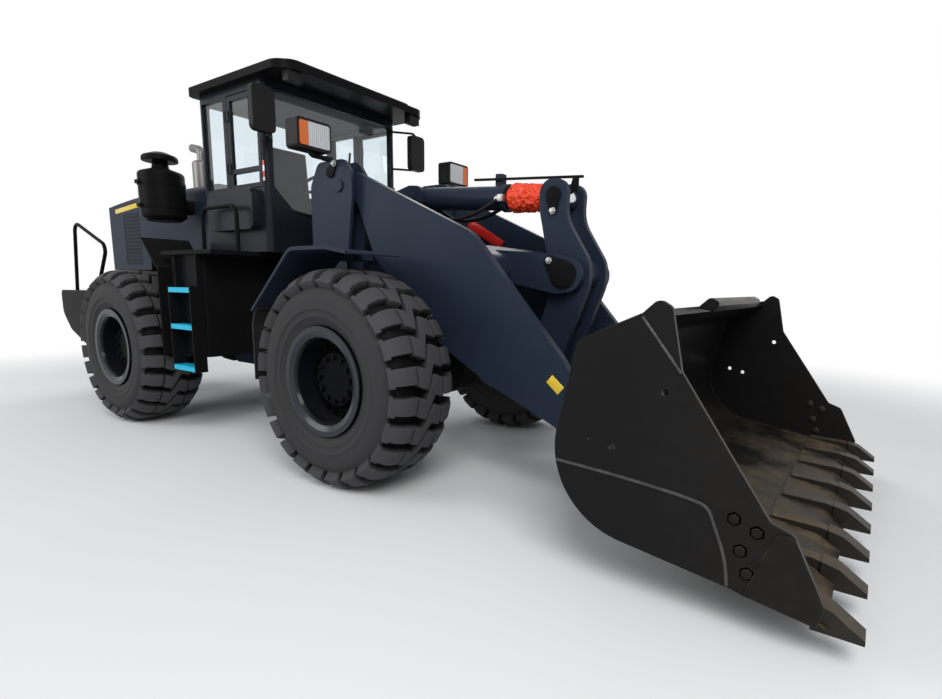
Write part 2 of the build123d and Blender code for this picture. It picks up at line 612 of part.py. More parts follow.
# Cab: hollow shell with window openings, roof, glass, doors and seat
with BuildPart() as cab_shell:
    flat([(CAB_REAR, -CAB_HALF, 60), (CAB_FRONT, -CAB_HALF, 60), (CAB_FRONT, CAB_HALF, 60),
          (CAB_REAR, CAB_HALF, 60)], DECK_TOP, CAB_TOP)
    block(CAB_REAR + 50, CAB_FRONT - 50, 50 - CAB_HALF, CAB_HALF - 50, DECK_TOP + 50,
          CAB_TOP - 40, Mode.SUBTRACT)
    slab([(-2210, 1930, 70), (-1480, 1930, 70), (-1480, 2288, 90), (-2210, 2288, 90)],
         -900, 10 - CAB_HALF)
    slab([(-2400, 1930, 70), (-2040, 1930, 70), (-2040, 2288, 90), (-2400, 2288, 90)],
         CAB_HALF - 10, 880)
    panel([(-720, 2300, 60), (-470, 2060, 60), (470, 2060, 60), (720, 2300, 60),
           (720, 3120, 40), (-720, 3120, 40)], CAB_FRONT - 60, CAB_FRONT + 10, Mode.SUBTRACT)
    panel(frame_of(90 - CAB_HALF, CAB_HALF - 90, 2300, 3120, 40), CAB_REAR - 10, CAB_REAR + 60,
          Mode.SUBTRACT)
    blocks(CAB_REAR + 70, DOOR_REAR - 60, CAB_HALF - 60, CAB_HALF + 10, SILL_Z, 3110,
           Mode.SUBTRACT)
    for hand, (s, low) in DOORS.items():
        block(DOOR_REAR, DOOR_FRONT, *span(CAB_HALF - 60, CAB_HALF + 10, s), low - 8, 3120,
              Mode.SUBTRACT)
write(cab_shell, "cab_shell")
with BuildPart() as cab_roof:
    flat([(-2500, -880, 90), (-1020, -880, 160), (-1020, 880, 160), (-2500, 880, 90)],
         CAB_TOP, CAB_TOP + 65)
    flat([(-2380, -760, 120), (-1100, -760, 120), (-1100, 760, 120), (-2380, 760, 120)],
         CAB_TOP + 65, CAB_TOP + 110)
write(cab_roof, "cab_roof")
with BuildPart() as cab_glass:
    panel([(-720, 2300, 60), (-470, 2060, 60), (470, 2060, 60), (720, 2300, 60),
           (720, 3120, 40), (-720, 3120, 40)], CAB_FRONT - 32, CAB_FRONT - 24)
    panel(frame_of(90 - CAB_HALF, CAB_HALF - 90, 2300, 3120, 40), CAB_REAR + 20, CAB_REAR + 28)
    blocks(CAB_REAR + 70, DOOR_REAR - 60, CAB_HALF - 30, CAB_HALF - 22, SILL_Z, 3110)
write(cab_glass, "cab_glass")
for hand, (s, low) in DOORS.items():
    with BuildPart() as door:
        block(DOOR_REAR + 8, DOOR_FRONT - 8, *span(CAB_HALF - 38, CAB_HALF, s), low, 3112)
        block(DOOR_REAR + 50, DOOR_FRONT - 50, *span(CAB_HALF - 50, CAB_HALF + 5, s), 2480, 3070,
              Mode.SUBTRACT)
        block(DOOR_REAR + 50, DOOR_FRONT - 50, *span(CAB_HALF - 50, CAB_HALF + 5, s), 2340, 2440,
              Mode.SUBTRACT)
        for z in (low + 150, 2900):
            post((DOOR_REAR - 2, s * (CAB_HALF + 14)), 12, z, z + 90)
            block(DOOR_REAR, DOOR_REAR + 40, *span(CAB_HALF - 2, CAB_HALF + 14, s), z, z + 90)
    write(door, f"door_{hand}")
    with BuildPart() as pane:
        block(DOOR_REAR + 50, DOOR_FRONT - 50, *span(CAB_HALF - 22, CAB_HALF - 16, s), 2480, 3070)
        block(DOOR_REAR + 50, DOOR_FRONT - 50, *span(CAB_HALF - 22, CAB_HALF - 16, s), 2340, 2440)
    write(pane, f"door_glass_{hand}")
with BuildPart() as seat:
    block(-2230, -1780, -230, 230, DECK_TOP + 50, 2080)
    slab([(-2250, 2080), (-1740, 2080, 50), (-1740, 2220, 60), (-2250, 2220)], -260, 260)
    slab([(-2260, 2180), (-2130, 2180, 30), (-2190, 2850, 50), (-2310, 2850, 50)], -240, 240)
    slab([(-1600, DECK_TOP + 50), (-1480, DECK_TOP + 50), (-1590, 2465), (-1690, 2430)], -50, 50)
    with BuildSketch(Plane(origin=(FRONT_AXLE_X - 1640, 0, 2440), x_dir=(0, 1, 0),
                           z_dir=(-0.35, 0, 0.94))) as ring:
        Circle(205)
        Circle(175, mode=Mode.SUBTRACT)
        Rectangle(380, 36)
    extrude(ring.sketch, amount=28)
write(seat, "seat_and_wheel")

# Air cleaner, exhaust, mirrors and lamps
with BuildPart() as air_cleaner:
    turned([(0, 2060), (150, 2060, 20), (210, 2100, 25), (210, 2530, 40), (80, 2575, 15),
            (70, 2640), (165, 2640, 10), (165, 2690, 35), (60, 2730, 25), (0, 2730)],
           (-2980, -930))
    disc((-2980, 2225), 75, -760, -HOOD_HALF)
write(air_cleaner, "air_cleaner")
with BuildPart() as exhaust:
    turned([(0, 2450), (100, 2450), (100, 2800, 40), (0, 2800)], (-3350, -300))
    pipe([(-3350, -300, 2780), (-3350, -300, 2920), (-3520, -300, 2960)], 45, 60)
write(exhaust, "exhaust")
with BuildPart() as mirrors:
    for s in (1, -1):
        pipe([(CAB_FRONT + 9, s * 735, 3080), (-1230, s * 930, 3080), (-1230, s * 930, 2700),
              (CAB_FRONT + 9, s * 735, 2700)], 11, 40)
        block(CAB_FRONT, CAB_FRONT + 10, *span(724, 750, s), 2670, 2730)
        block(CAB_FRONT, CAB_FRONT + 10, *span(724, 750, s), 3050, 3110)
        panel(frame_of(*span(825, 1035, s), 2690, 3050, 45), -1250, -1190)
write(mirrors, "mirrors")
with BuildPart() as tail_lamps:
    blocks(-5275, -5250, 800, 1000, 1180, 1290)
write(tail_lamps, "tail_lamps")
with BuildPart() as roof_lamps:
    blocks(-1120, -1045, 650, 790, CAB_TOP - 85, CAB_TOP)
write(roof_lamps, "roof_lamps")
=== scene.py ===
import math

import bpy
from mathutils import Matrix, Vector, noise


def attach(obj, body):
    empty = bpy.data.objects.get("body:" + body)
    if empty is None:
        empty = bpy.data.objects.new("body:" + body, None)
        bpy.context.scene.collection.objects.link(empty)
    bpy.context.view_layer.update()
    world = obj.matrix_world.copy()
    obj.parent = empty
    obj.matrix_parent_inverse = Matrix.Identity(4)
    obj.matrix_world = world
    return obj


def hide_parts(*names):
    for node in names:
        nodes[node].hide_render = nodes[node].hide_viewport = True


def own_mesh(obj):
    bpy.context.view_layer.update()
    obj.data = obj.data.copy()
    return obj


# The articulated wheel loader, as its solid frame gives it. Everything below
# dresses that frame, in the order in which such a machine is put together.
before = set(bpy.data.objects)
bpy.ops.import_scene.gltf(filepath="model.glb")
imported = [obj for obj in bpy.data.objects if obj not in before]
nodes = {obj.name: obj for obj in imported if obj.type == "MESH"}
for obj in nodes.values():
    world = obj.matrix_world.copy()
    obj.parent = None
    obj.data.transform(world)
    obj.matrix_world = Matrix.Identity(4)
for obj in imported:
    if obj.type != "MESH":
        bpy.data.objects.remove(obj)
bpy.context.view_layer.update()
FRONT_AXLE = 1.0815


def at(x, y, z):
    """A point given from the front axle, as the machine's drawings do."""
    return Vector((FRONT_AXLE + x, y, z))


# The viewpoint: a phone held at chest height off the right-hand front corner,
# wide enough to take in the bucket's teeth and the rear rails together.
ROLL = math.radians(0.88)
sight = Vector((-0.5578, 0.8126, -0.1693)).normalized()
across = sight.cross(Vector((0, 0, 1))).normalized()
over = across.cross(sight)
camera = bpy.data.objects.new("camera", bpy.data.cameras.new("camera"))
bpy.context.scene.collection.objects.link(camera)
level_x = math.cos(ROLL) * across + math.sin(ROLL) * over
level_y = math.cos(ROLL) * over - math.sin(ROLL) * across
camera.matrix_world = Matrix.Translation((4.2265, -3.854, 1.463)) @ Matrix(
    (level_x, level_y, -sight)).transposed().to_4x4()
camera.data.sensor_width = 36
camera.data.lens = 21.24
camera.data.shift_x = -0.0243
camera.data.shift_y = 0.0338
bpy.context.scene.camera = camera


# The studio: a pale floor that fades into a white surround, one broad soft
# lamp over the machine's front right, and two weaker ones behind and beside.
bpy.context.scene.view_settings.view_transform = "Standard"


def wire(tree, *steps):
    """Links sockets in pairs: (from node, its output), (to node, its input)."""
    for (source, out), (target, into) in steps:
        tree.links.new(source.outputs[out], target.inputs[into])


def node(tree, kind, **settings):
    """A new shader node; each setting is an input's value or a property."""
    made = tree.nodes.new("ShaderNode" + kind)
    for key, value in settings.items():
        if key in made.inputs:
            made.inputs[key].default_value = value
        else:
            setattr(made, key, value)
    return made


def bare(piece=None):
    """Object mode, with nothing selected but the piece, if one is given."""
    if bpy.context.object and bpy.context.object.mode != "OBJECT":
        bpy.ops.object.mode_set(mode="OBJECT")
    bpy.ops.object.select_all(action="DESELECT")
    bpy.context.view_layer.objects.active = piece
    if piece:
        piece.select_set(True)


bare()
bpy.ops.mesh.primitive_circle_add(vertices=96, radius=24, fill_type="NGON")
floor = bpy.context.object
floor.name = "studio_floor"
floor_finish = bpy.data.materials.new("studio_floor")
floor_finish.use_nodes = True
tree = floor_finish.node_tree
surface = tree.nodes["Principled BSDF"]
surface.inputs["Base Color"].default_value = (0.80, 0.80, 0.80, 1)
surface.inputs["Roughness"].default_value = 0.9
surface.inputs["Specular IOR Level"].default_value = 0.1
place = node(tree, "TexCoord")
reach = node(tree, "VectorMath", operation="LENGTH")
fade = node(tree, "MapRange", interpolation_type="SMOOTHSTEP",
            **{"From Min": 5.5, "From Max": 10.0})
clear = node(tree, "BsdfTransparent")
both = node(tree, "MixShader")
wire(tree, ((place, "Object"), (reach, 0)), ((reach, "Value"), (fade, "Value")),
     ((fade, "Result"), (both, 0)), ((surface, 0), (both, 1)), ((clear, 0), (both, 2)),
     ((both, 0), (tree.nodes["Material Output"], 0)))
floor.data.materials.append(floor_finish)

world = bpy.data.worlds.new("studio")
bpy.context.scene.world = world
world.use_nodes = True
tree = world.node_tree
soft = tree.nodes["Background"]
soft.inputs["Color"].default_value = (0.93, 0.96, 1, 1)
soft.inputs["Strength"].default_value = 0.45
white = node(tree, "Background", Color=(1, 1, 1, 1))
ray = node(tree, "LightPath")
seen = node(tree, "Math", operation="MAXIMUM")
mirrored = node(tree, "Math", operation="MAXIMUM")
both = node(tree, "MixShader")
wire(tree, ((ray, "Is Camera Ray"), (seen, 0)), ((ray, "Is Transmission Ray"), (seen, 1)),
     ((seen, 0), (mirrored, 0)), ((ray, "Is Glossy Ray"), (mirrored, 1)),
     ((mirrored, 0), (both, 0)), ((soft, 0), (both, 1)), ((white, 0), (both, 2)),
     ((both, 0), (tree.nodes["World Output"], 0)))

for name, spot, target, size, watts in (
        ("key_lamp", (7.0, -6.5, 7.5), (1.0, 0, 1.2), 5.0, 700),
        ("fill_lamp", (-5.5, -7.5, 5.0), (-1.0, 0, 1.2), 5.0, 320),
        ("back_lamp", (-3.0, 8.0, 7.0), (0, 0, 1.5), 6.0, 350)):
    lamp = bpy.data.objects.new(name, bpy.data.lights.new(name, "AREA"))
    lamp.data.size = size
    lamp.data.energy = watts
    lamp.location = spot
    lamp.rotation_euler = (Vector(target) - Vector(spot)).to_track_quat("-Z", "Y").to_euler()
    bpy.context.scene.collection.objects.link(lamp)


# The two halves of the chassis: welded plate, sprayed slate blue as one, on black
# axles. Paint thins on the plate edges, and dust settles on what faces up.
def group(name, inputs, outputs):
    """A shader group with its own named sockets, and its two end nodes."""
    made = bpy.data.node_groups.new(name, "ShaderNodeTree")
    for label, kind, value in inputs:
        socket = made.interface.new_socket(label, in_out="INPUT", socket_type=kind)
        socket.default_value = value
    for label, kind in outputs:
        made.interface.new_socket(label, in_out="OUTPUT", socket_type=kind)
    return made, made.nodes.new("NodeGroupInput"), made.nodes.new("NodeGroupOutput")


COLOUR, VALUE = "NodeSocketColor", "NodeSocketFloat"
weathered, given, result = group(
    "weathered", (("Paint", COLOUR, (0.02, 0.02, 0.02, 1)), ("Bare", COLOUR, (0.1, 0.1, 0.1, 1)),
                  ("Dust", COLOUR, (0.16, 0.13, 0.1, 1)), ("Dust Amount", VALUE, 0.3),
                  ("Wear Amount", VALUE, 0.4), ("Gloss", VALUE, 0.25)),
    (("Color", COLOUR), ("Roughness", VALUE), ("Height", VALUE)))
place = node(weathered, "TexCoord")
mottle = node(weathered, "TexNoise", Scale=2.3, Detail=5.0, Roughness=0.62)
grime = node(weathered, "TexNoise", Scale=17.0, Detail=4.0, Roughness=0.7)
peel = node(weathered, "TexNoise", Scale=260.0, Detail=1.0)
upward = node(weathered, "SeparateXYZ")
lying = node(weathered, "MapRange", **{"From Min": 0.35, "From Max": 1.0})
settled = node(weathered, "MapRange", **{"From Min": 0.42, "From Max": 0.72})
film = node(weathered, "Math", operation="MULTIPLY_ADD")
film.inputs[2].default_value = 0.05
dusty = node(weathered, "Math", operation="MULTIPLY")
dusty_all = node(weathered, "Math", operation="MULTIPLY", use_clamp=True)
round_edge = node(weathered, "Bevel", Radius=0.006)
round_edge.samples = 4
true_face = node(weathered, "NewGeometry")
turn = node(weathered, "VectorMath", operation="DOT_PRODUCT")
edge = node(weathered, "MapRange", **{"From Min": 0.985, "From Max": 0.9})
chip = node(weathered, "MapRange", **{"From Min": 0.44, "From Max": 0.62})
chipped = node(weathered, "Math", operation="MULTIPLY")
worn = node(weathered, "Math", operation="MULTIPLY", use_clamp=True)
shade = node(weathered, "MapRange", **{"To Min": 0.82, "To Max": 1.18})
tone = node(weathered, "VectorMath", operation="SCALE")
with_dust = node(weathered, "Mix", data_type="RGBA")
with_wear = node(weathered, "Mix", data_type="RGBA")
rough = node(weathered, "Math", operation="MULTIPLY_ADD", use_clamp=True)
rough.inputs[1].default_value = 0.5
rough_all = node(weathered, "Math", operation="MULTIPLY_ADD", use_clamp=True)
rough_all.inputs[1].default_value = 0.09
wire(weathered,
     *[((place, "Object"), (texture, "Vector")) for texture in (mottle, grime, peel)],
     ((place, "Normal"), (upward, 0)), ((upward, "Z"), (lying, "Value")),
     ((mottle, 0), (settled, "Value")), ((lying, 0), (film, 0)), ((settled, 0), (film, 1)),
     ((film, 0), (dusty, 0)), ((grime, 0), (dusty, 1)), ((dusty, 0), (dusty_all, 0)),
     ((given, "Dust Amount"), (dusty_all, 1)),
     ((round_edge, 0), (turn, 0)), ((true_face, "True Normal"), (turn, 1)),
     ((turn, "Value"), (edge, "Value")), ((grime, 0), (chip, "Value")),
     ((edge, 0), (chipped, 0)), ((chip, 0), (chipped, 1)), ((chipped, 0), (worn, 0)),
     ((given, "Wear Amount"), (worn, 1)),
     ((mottle, 0), (shade, "Value")), ((given, "Paint"), (tone, 0)), ((shade, 0), (tone, "Scale")),
     ((tone, 0), (with_dust, "A")), ((given, "Dust"), (with_dust, "B")),
     ((dusty_all, 0), (with_dust, "Factor")),
     ((with_dust, "Result"), (with_wear, "A")), ((given, "Bare"), (with_wear, "B")),
     ((worn, 0), (with_wear, "Factor")), ((with_wear, "Result"), (result, "Color")),
     ((dusty_all, 0), (rough, 0)), ((given, "Gloss"), (rough, 2)),
     ((grime, 0), (rough_all, 0)), ((rough, 0), (rough_all, 2)),
     ((rough_all, 0), (result, "Roughness")), ((peel, 0), (result, "Height")))


def finish(name, **plain):
    """A new material, its tree and its Principled BSDF, with plain socket values."""
    made = bpy.data.materials.new(name)
    made.use_nodes = True
    surface = made.node_tree.nodes["Principled BSDF"]
    for socket, value in plain.items():
        surface.inputs[socket.replace("_", " ")].default_value = value
    return made, made.node_tree, surface


def painted(name, colour, bare_colour, gloss, dust=0.3, wear=0.4, dust_colour=(0.16, 0.13, 0.1),
            relief=0.02, **plain):
    """Sprayed or moulded surface with dust, worn edges and fine orange peel."""
    made, tree, surface = finish(name, **plain)
    coat = node(tree, "Group", node_tree=weathered)
    coat.name = "coat"
    for label, value in (("Paint", colour), ("Bare", bare_colour), ("Dust", dust_colour)):
        coat.inputs[label].default_value = (*value, 1)
    coat.inputs["Gloss"].default_value = gloss
    coat.inputs["Dust Amount"].default_value = dust
    coat.inputs["Wear Amount"].default_value = wear
    soft_edge = node(tree, "Bevel", Radius=0.004)
    soft_edge.samples = 4
    bump = node(tree, "Bump", Strength=relief, Distance=0.001)
    wire(tree, ((coat, "Color"), (surface, "Base Color")),
         ((coat, "Roughness"), (surface, "Roughness")), ((coat, "Height"), (bump, "Height")),
         ((soft_edge, 0), (bump, "Normal")), ((bump, 0), (surface, "Normal")))
    return made


def coated(coat, *names):
    """Puts a finish on solids of the frame; a name that ends in _ takes all that start so."""
    for start in names:
        for name, part in nodes.items():
            if name == start or (start.endswith("_") and name.startswith(start)):
                part.data.materials.clear()
                part.data.materials.append(coat)


slate_paint = painted("slate_paint", (0.0165, 0.0245, 0.0425), (0.08, 0.077, 0.074), 0.34,
                      dust=0.2, Specular_IOR_Level=0.07)
black_paint = painted("black_paint", (0.0065, 0.0066, 0.0074), (0.07, 0.066, 0.062), 0.26,
                      dust=0.22, Specular_IOR_Level=0.02)
# The axles get a darker, matt black than the body's black: painted shade over the hubs inside the
# rims.
axle_shadow_paint = painted("axle_shadow_paint", (0.0042, 0.0043, 0.0050), (0.04, 0.038, 0.036), 0.42,
                     Specular_IOR_Level=0.03)
steel = painted("steel", (0.16, 0.155, 0.15), (0.4, 0.39, 0.38), 0.36, 0.3, 0.5, Metallic=0.9)
coated(slate_paint, "front_frame", "rear_frame", "front_fenders", "frame_pins")
coated(black_paint, "counterweight", "engine")
coated(axle_shadow_paint, "front_axle", "rear_axle")


# Tyres: block-tread loader tyres moulded in dark grey rubber. The shoulder lugs
# wrap down the side wall, and a thin groove parts them from the middle blocks.
def shape(piece):
    """Opens a piece in edit mode, by faces, with nothing selected."""
    bare(piece)
    bpy.context.tool_settings.mesh_select_mode = (False, False, True)
    bpy.ops.object.mode_set(mode="EDIT")
    bpy.ops.mesh.select_all(action="DESELECT")


def pick(piece, test):
    """Selects only the faces that pass the test, and stays in edit mode."""
    bpy.ops.object.mode_set(mode="OBJECT")
    mesh = piece.data
    for parts in (mesh.vertices, mesh.edges, mesh.polygons):
        parts.foreach_set("select", [False] * len(parts))
    for face in mesh.polygons:
        face.select = test(face)
    bpy.context.tool_settings.mesh_select_mode = (False, False, True)
    bpy.ops.object.mode_set(mode="EDIT")


def soften(piece, width, segments=2, angle=35):
    """Breaks the sharp edges of a piece."""
    bare(piece)
    rounding = piece.modifiers.new("rounding", "BEVEL")
    rounding.width = width
    rounding.segments = segments
    rounding.limit_method = "ANGLE"
    rounding.angle_limit = math.radians(angle)
    bpy.ops.object.modifier_apply(modifier="rounding")


def fit(piece, name, coat, body):
    """Puts a piece's place into its mesh, names and paints it, and hangs it on a body."""
    bare(piece)
    bpy.ops.object.transform_apply(location=True, rotation=True, scale=True)
    bpy.ops.object.shade_smooth_by_angle(angle=math.radians(35))
    piece.name = piece.data.name = name
    piece.data.materials.clear()
    piece.data.materials.append(coat)
    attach(piece, body)


def twin(piece):
    """A copy of a piece with its own mesh."""
    made = piece.copy()
    made.data = piece.data.copy()
    bpy.context.scene.collection.objects.link(made)
    return made


tyre_rubber = painted("tyre_rubber", (0.0205, 0.0198, 0.0202), (0.05, 0.047, 0.045), 0.6, 0.4, 0.5,
                      dust_colour=(0.075, 0.07, 0.066), relief=0.25, Specular_IOR_Level=0.1)
tree = tyre_rubber.node_tree
# The rubber is painted near-black as shade down in the grooves: a point's height over the groove
# floor lifts it to the lit rubber colour.
groove_shade = node(tree, "Attribute", attribute_name="height")
shaded = node(tree, "Mix", data_type="RGBA")
shaded.inputs["A"].default_value = (0.0022, 0.0022, 0.0023, 1)
shaded.inputs["B"].default_value = (0.055, 0.0545, 0.0568, 1)
wire(tree, ((groove_shade, "Fac"), (shaded, "Factor")),
     ((shaded, "Result"), (tree.nodes["coat"], "Paint")))
SIDES = (("left", 1), ("right", -1))
AXLES = (("front", 0), ("rear", -3.3))
AXLE_HEIGHT = 0.785
HALF_TRACK = 1.125
TYRE_STEPS = 288
PITCH = math.radians(15)
LUG_HEIGHT = 0.063
CROWN_RADIUS = 0.720
side_wall = [(0.250, 0.392), (0.262, 0.414), (0.277, 0.450), (0.281, 0.462), (0.288, 0.500),
             (0.2915, 0.520), (0.294, 0.555), (0.291, 0.590), (0.282, 0.618), (0.264, 0.645)]
crown = [(0.244, 0.662), (0.228, 0.680), (0.210, 0.699), (0.186, 0.711), (0.150, 0.717),
         (0.128, 0.719), (0.116, 0.719), (0.035, CROWN_RADIUS)]
section = side_wall + crown
under_lugs = side_wall[-1:] + crown + [(0, CROWN_RADIUS)]
carcass = [(y0 + (y1 - y0) * i / 8, r0 + (r1 - r0) * i / 8)
           for (y0, r0), (y1, r1) in zip(under_lugs, under_lugs[1:]) for i in range(9)]
section += [(-y, r) for y, r in reversed(section)]


def slant(y):
    """How far the cross grooves have turned at a distance from the middle line: a Z."""
    for (y0, turn0), (y1, turn1) in zip(groove_line, groove_line[1:]):
        if y1 <= y <= y0:
            return turn0 + (turn1 - turn0) * (y0 - y) / (y0 - y1)
    return 0.0 if y > 0 else PITCH / 2


groove_line = [(0.116, 0.0), (0.035, 0.150 * PITCH - 0.085), (-0.035, 0.350 * PITCH + 0.085),
               (-0.116, PITCH / 2)]
bare()
bpy.ops.mesh.primitive_circle_add(vertices=TYRE_STEPS, radius=section[0][1],
                                  location=(0, 0, section[0][0]))
tyre = bpy.context.object
bpy.ops.object.transform_apply(location=True)
bpy.ops.object.mode_set(mode="EDIT")
bpy.ops.mesh.select_all(action="SELECT")
for (y, r), (y_next, r_next) in zip(section, section[1:]):
    bpy.ops.mesh.extrude_region_move(TRANSFORM_OT_translate={"value": (0, 0, y_next - y)})
    bpy.ops.transform.resize(value=(r_next / r, r_next / r, 1), center_override=(0, 0, 0))
bpy.ops.mesh.select_all(action="SELECT")
bpy.ops.mesh.normals_make_consistent(inside=False)
bpy.ops.object.mode_set(mode="OBJECT")
for spot in tyre.data.vertices:
    spot.co = Matrix.Rotation(slant(spot.co.z), 3, "Z") @ spot.co


def lug(face, near, far):
    """Whether a face lies on a tread block between two distances from the middle line."""
    x, y, z = face.center
    reach = math.hypot(x, y)
    if not (near < abs(z) < far and reach > 0.640):
        return False
    groove, aside = 5.0, 0.0
    if reach < 0.66:
        groove, aside = 3.75, 0.625
    elif abs(z) > 0.117 and reach > 0.68:
        groove, aside = 6.25, 0.625
    turn = math.atan2(y, x) - math.pi / 2 - slant(z) + math.radians(aside)
    return abs((turn + PITCH / 2) % PITCH - PITCH / 2) < PITCH / 2 - math.radians(groove / 2 + 0.1)


shape(tyre)
for near, far in ((-1, 0.117), (0.127, 0.270)):
    pick(tyre, lambda face: lug(face, near, far))
    bpy.ops.mesh.extrude_region_shrink_fatten(
        TRANSFORM_OT_shrink_fatten={"value": LUG_HEIGHT, "use_even_offset": False})
for inner, outer in ((0.450, 0.462), (0.500, 0.520)):
    pick(tyre, lambda face: inner < math.hypot(*face.center[:2]) < outer
         and abs(face.center.z) > 0.26)
    bpy.ops.mesh.extrude_region_shrink_fatten(TRANSFORM_OT_shrink_fatten={"value": 0.003})
bpy.ops.object.mode_set(mode="OBJECT")
# Each point's height over the groove floor, for the painted groove shade; the side wall takes a
# fixed 0.62.
height = tyre.data.attributes.new("height", "FLOAT", "POINT")
for spot, mark in zip(tyre.data.vertices, height.data):
    middle, reach = abs(spot.co.z), math.hypot(*spot.co[:2])
    over_groove = min(math.hypot(middle - y, reach - r) for y, r in carcass)
    mark.value = min(over_groove / 0.050, 1.0) if reach > 0.650 else 0.62
soften(tyre, 0.004, 2, 42)
tyre.rotation_euler = (-math.pi / 2, 0, 0)
for axle, x in AXLES:
    for hand, s in SIDES:
        each = twin(tyre)
        each.location = at(x, s * HALF_TRACK, AXLE_HEIGHT)
        fit(each, f"tread_{axle}_{hand}", tyre_rubber, f"wheel_{axle}_{hand}")
        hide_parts(f"tyre_{axle}_{hand}")
bpy.data.objects.remove(tyre)


# Rims: pressed steel, matt in the dish and lacquered blue-black on the flange, with the dish
# painted near-black as shadow. They are bolted to the hubs by a ring of nuts, with a smaller ring
# on the planet cover.
rim_paint = painted("rim_paint", (0.0100, 0.0122, 0.0175), (0.06, 0.06, 0.06), 0.30, 0.2, 0.3,
                    Specular_IOR_Level=0.03, Coat_Roughness=0.16)
DISH_EDGE = {"From Min": 0.29, "From Max": 0.325}
tree = rim_paint.node_tree
place = node(tree, "TexCoord")
side_on = node(tree, "VectorMath", operation="MULTIPLY")
side_on.inputs[1].default_value = (1, 0, 1)
from_hub = node(tree, "Math", operation="MINIMUM")
for number, (axle, x) in enumerate(AXLES):
    reach = node(tree, "VectorMath", operation="DISTANCE")
    reach.inputs[1].default_value = at(x, 0, AXLE_HEIGHT)
    wire(tree, ((side_on, 0), (reach, 0)), ((reach, "Value"), (from_hub, number)))
flange = node(tree, "MapRange", **DISH_EDGE)
lacquer = node(tree, "MapRange", **DISH_EDGE, **{"To Max": 0.6})
# Inside the flange's edge the colour drops to near-black: painted shadow in the dish.
dish_shadow = node(tree, "Mix", data_type="RGBA")
dish_shadow.inputs["A"].default_value = (0.0024, 0.0027, 0.0035, 1)
dish_shadow.inputs["B"].default_value = (0.0115, 0.0138, 0.0195, 1)
wire(tree, ((place, "Object"), (side_on, 0)),
     ((from_hub, 0), (flange, "Value")), ((flange, 0), (dish_shadow, "Factor")),
     ((dish_shadow, "Result"), (tree.nodes["coat"], "Paint")), ((from_hub, 0), (lacquer, "Value")),
     ((lacquer, 0), (tree.nodes["Principled BSDF"], "Coat Weight")))
coated(rim_paint, "rim_")


def bolt(across, height):
    """A hexagon head that stands along +Z on its washer."""
    bare()
    bpy.ops.mesh.primitive_cylinder_add(vertices=6, radius=across / 1.732, depth=height,
                                        location=(0, 0, height / 2))
    head = bpy.context.object
    bpy.ops.object.transform_apply(location=True)
    shape(head)
    pick(head, lambda face: face.normal.z > 0.9)
    bpy.ops.mesh.inset(thickness=across * 0.14, depth=across * 0.05)
    pick(head, lambda face: face.normal.z < -0.9)
    bpy.ops.mesh.extrude_region_move()
    bpy.ops.transform.resize(value=(1.35, 1.35, 1))
    bpy.ops.mesh.extrude_region_move(TRANSFORM_OT_translate={"value": (0, 0, -0.004)})
    bpy.ops.object.mode_set(mode="OBJECT")
    return head


def copied(piece, places):
    """Copies a piece to each place, each with its own mesh, and joins them into one."""
    made = []
    for spot in places:
        each = twin(piece)
        each.matrix_world = spot
        made.append(each)
    bpy.data.objects.remove(piece)
    bare(made[0])
    for each in made:
        each.select_set(True)
    bpy.ops.object.join()
    return made[0]


def facing(s, x, y, z):
    """A place from the front axle whose +Z looks left for side 1 and right for side -1."""
    return Matrix.Translation(at(x, y, z)) @ Matrix.Rotation(-s * math.pi / 2, 4, "X")


for axle, x in AXLES:
    for hand, s in SIDES:
        spots = []
        for count, radius, face in ((20, 0.262, 0.085), (12, 0.160, 0.150)):
            for i in range(count):
                angle = 2 * math.pi * i / count
                spots.append(facing(s, x + radius * math.cos(angle), s * (HALF_TRACK + face),
                                    AXLE_HEIGHT + radius * math.sin(angle)))
        # The nuts take the rim finish, so they lie in its painted dish shadow.
        nuts = copied(bolt(0.030, 0.020), spots)
        fit(nuts, f"hub_nuts_{axle}_{hand}", rim_paint, f"wheel_{axle}_{hand}")


# The lift arms and the bellcrank that works the bucket: thick flame-cut plates
# with pins, each pin held from turning by a lock plate and a galvanised bolt.
coated(slate_paint, "boom", "bellcrank")
coated(black_paint, "bucket_link", "bucket_pins", "crank_pin", "link_pin")
galvanised = painted("galvanised", (0.42, 0.42, 0.41), (0.55, 0.55, 0.54), 0.34, 0.2, 0.4,
                     Metallic=0.8)


def plate(size, break_edge=0.003):
    """A flat plate about the origin, its long edges broken."""
    bare()
    bpy.ops.mesh.primitive_cube_add(size=1)
    piece = bpy.context.object
    piece.scale = size
    bpy.ops.object.transform_apply(scale=True)
    soften(piece, break_edge)
    return piece


def lock_plate(name, body, x, y, z, turn, radius, tail):
    """Two teardrop keepers, one over a pin on each side, each with its bolt in the tail."""
    thick = 0.014
    bare()
    bpy.ops.mesh.primitive_cylinder_add(vertices=48, radius=radius, depth=thick,
                                        location=(0, 0, thick / 2))
    keeper = bpy.context.object
    bpy.ops.object.transform_apply(location=True)
    shape(keeper)
    pick(keeper, lambda face: face.normal.x > 0.25 and abs(face.normal.z) < 0.1)
    bpy.ops.mesh.extrude_region_move(TRANSFORM_OT_translate={"value": (tail, 0, 0)})
    bpy.ops.transform.resize(value=(0.4, 0.4, 1), center_override=(tail, 0, 0))
    bpy.ops.object.mode_set(mode="OBJECT")
    soften(keeper, 0.002)
    stand = [facing(s, x, s * y, z) @ Matrix.Rotation(s * turn, 4, "Z") for hand, s in SIDES]
    fit(copied(keeper, stand), name, black_paint, body)
    heads = [spot @ Matrix.Translation((tail, 0, 0.018)) for spot in stand]
    fit(copied(bolt(0.034, 0.018), heads), name + "_bolts", galvanised, body)


